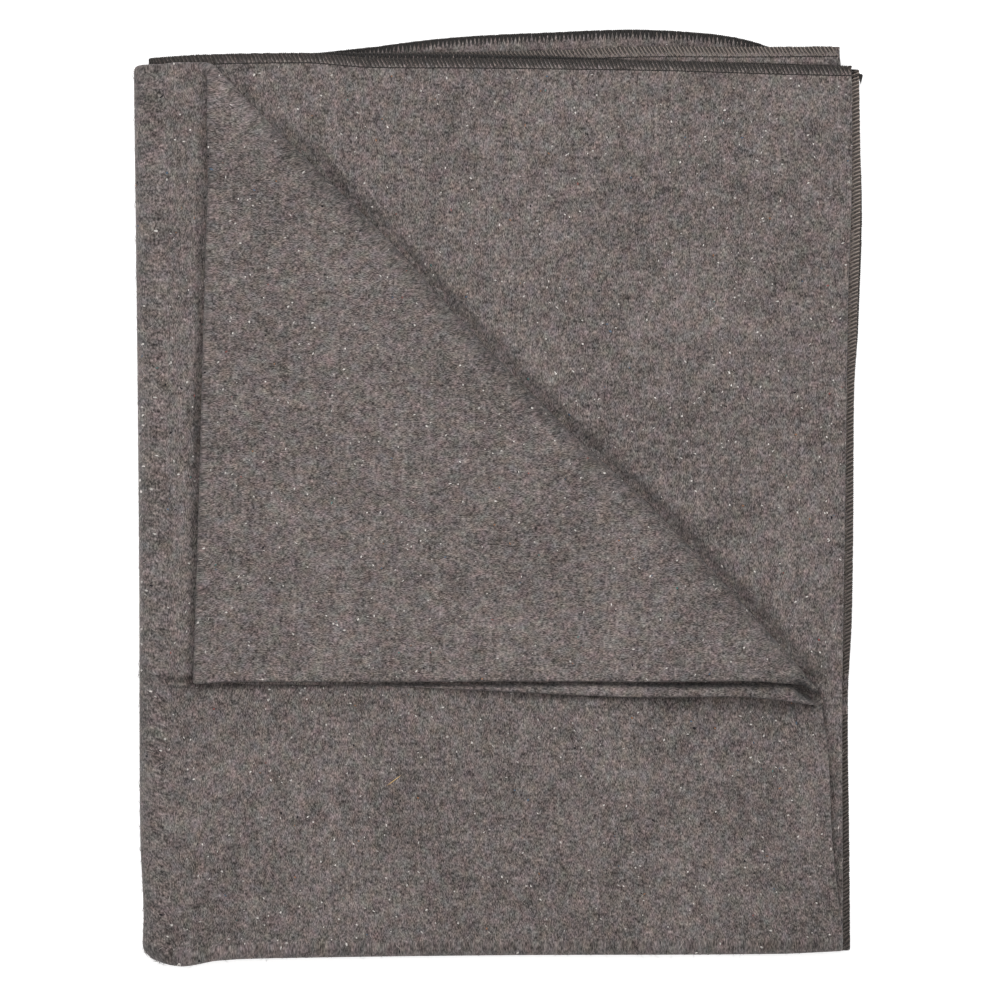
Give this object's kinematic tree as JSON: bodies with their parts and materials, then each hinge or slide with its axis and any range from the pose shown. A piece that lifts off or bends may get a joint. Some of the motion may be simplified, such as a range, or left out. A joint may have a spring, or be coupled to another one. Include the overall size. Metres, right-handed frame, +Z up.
{
  "type": "folded wool blanket",
  "caption": "Grey-brown brushed recycled wool blanket with dark overlocked edges, folded into a flat pile with one corner turned down.",
  "frame": {"origin": "under the middle of the folded pile, on the surface that it lies on", "axes": "+Z up out of the surface; +Y along the pile's long side, towards the sewn ends; +X towards the side with the sewn sides"},
  "size_m": [0.3899, 0.5006, 0.0386],
  "materials": {
    "wool_cloth": "brushed, with a melange of grey, brown and black fibres"
  },
  "bodies": {
    "root": {"blanket_cloth": "wool_cloth"}
  },
  "joints": []
}
